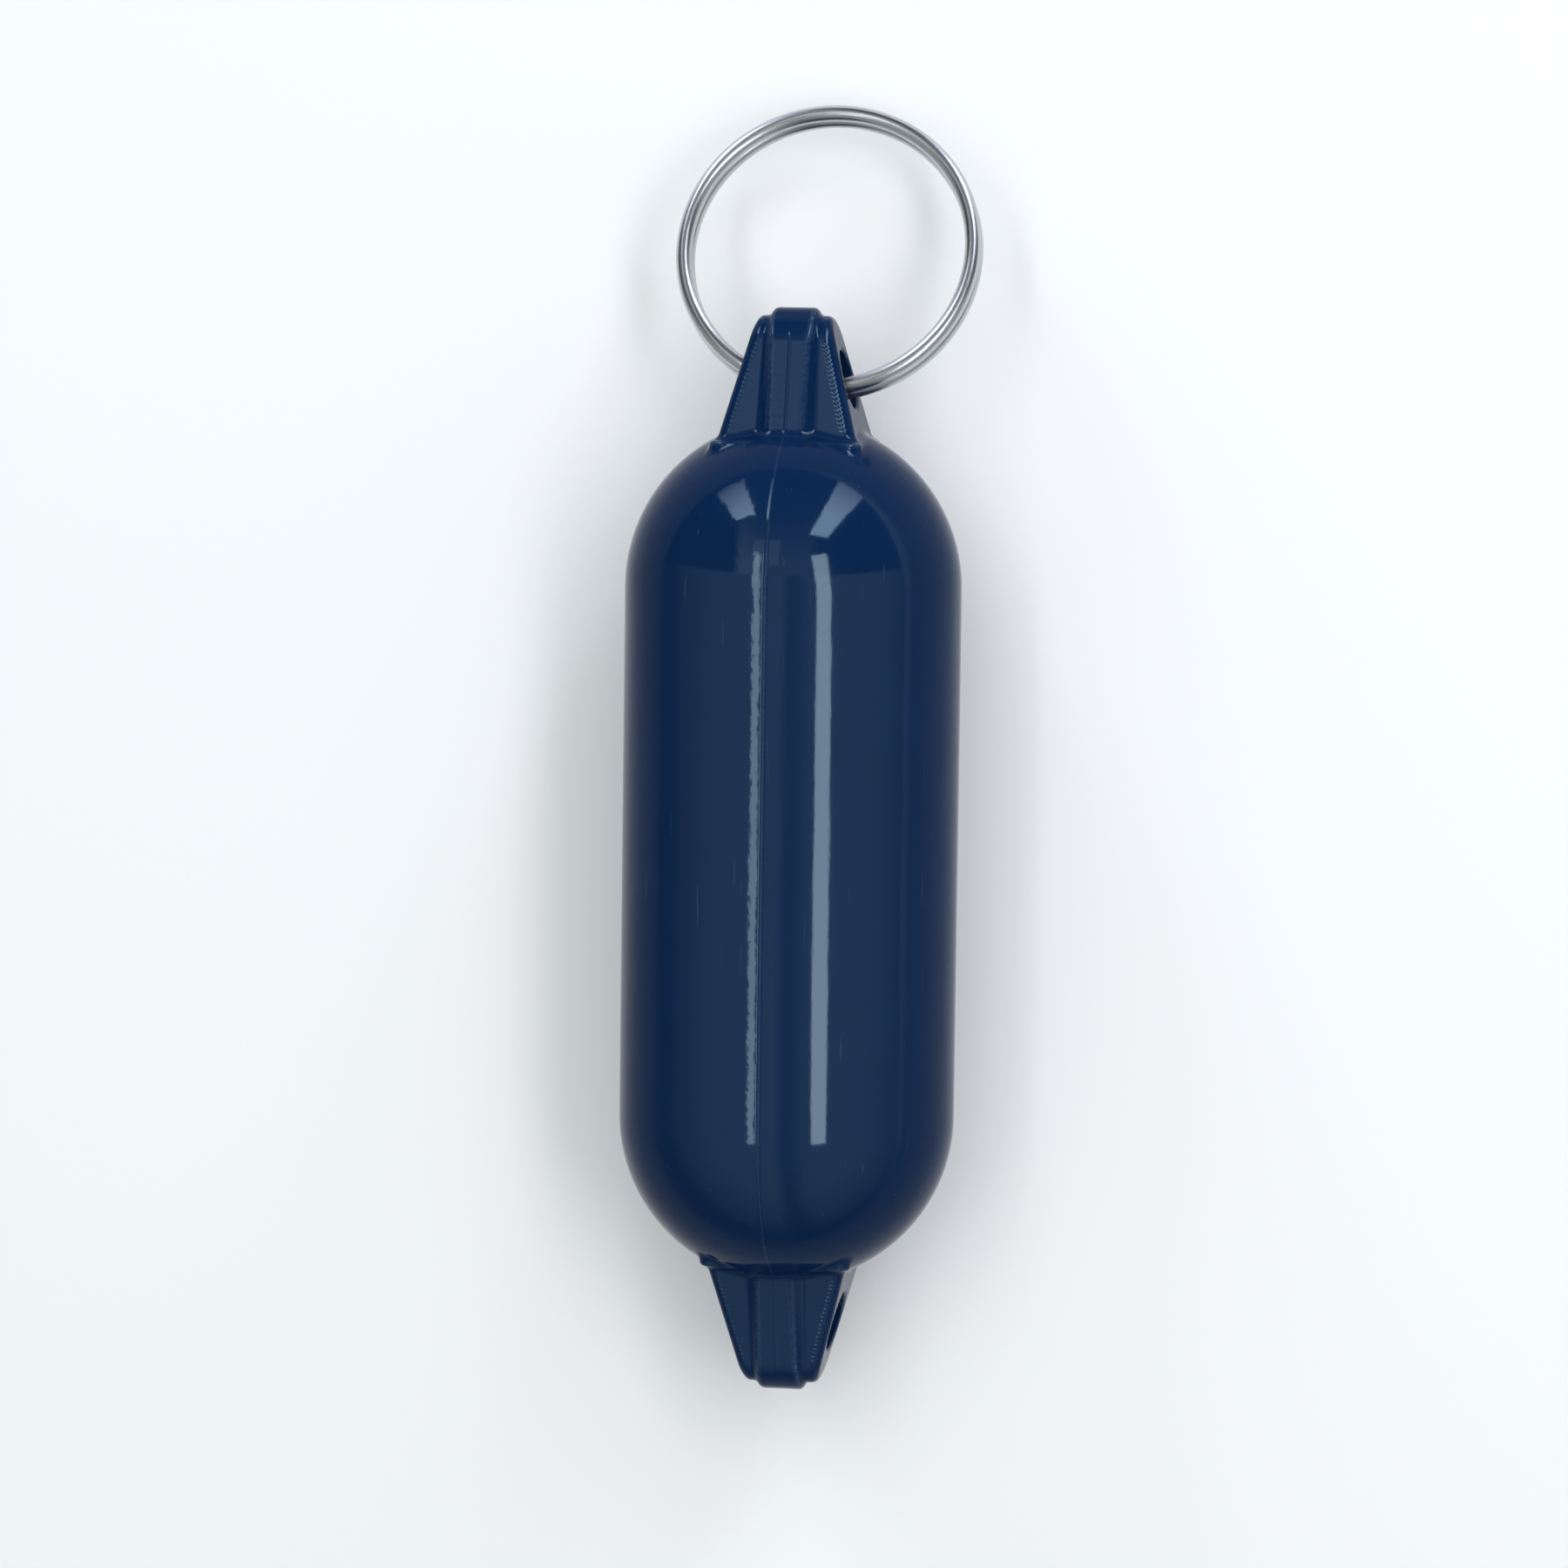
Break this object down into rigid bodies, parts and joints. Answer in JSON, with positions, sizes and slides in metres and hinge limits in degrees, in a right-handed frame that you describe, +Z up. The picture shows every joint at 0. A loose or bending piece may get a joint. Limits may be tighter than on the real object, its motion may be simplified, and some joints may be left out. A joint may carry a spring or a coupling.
{
  "type": "floating keychain",
  "caption": "Key float shaped like a small boat fender, with a pierced eye at each end and a split key ring through one eye.",
  "frame": {"origin": "on the floor, below the middle of the float's round body, on the narrow flat that it lies on", "axes": "+X along the holes of both eyes, +Y along the float towards the ring, +Z up from the floor"},
  "size_m": [0.036, 0.1337, 0.035],
  "materials": {
    "soft_pvc": "glossy moulded navy soft PVC",
    "stainless_wire": "drawn and tumbled stainless spring wire"
  },
  "bodies": {
    "float": {"float_body": "soft_pvc"},
    "ring": {"split_ring": "stainless_wire"}
  },
  "joints": [
    {"name": "ring_swing", "type": "hinge", "parent": "float", "child": "ring", "pos_m": [0, 0.04902, 0.01748], "axis": [1, 0, 0], "range_deg": [-109, 151]}
  ]
}
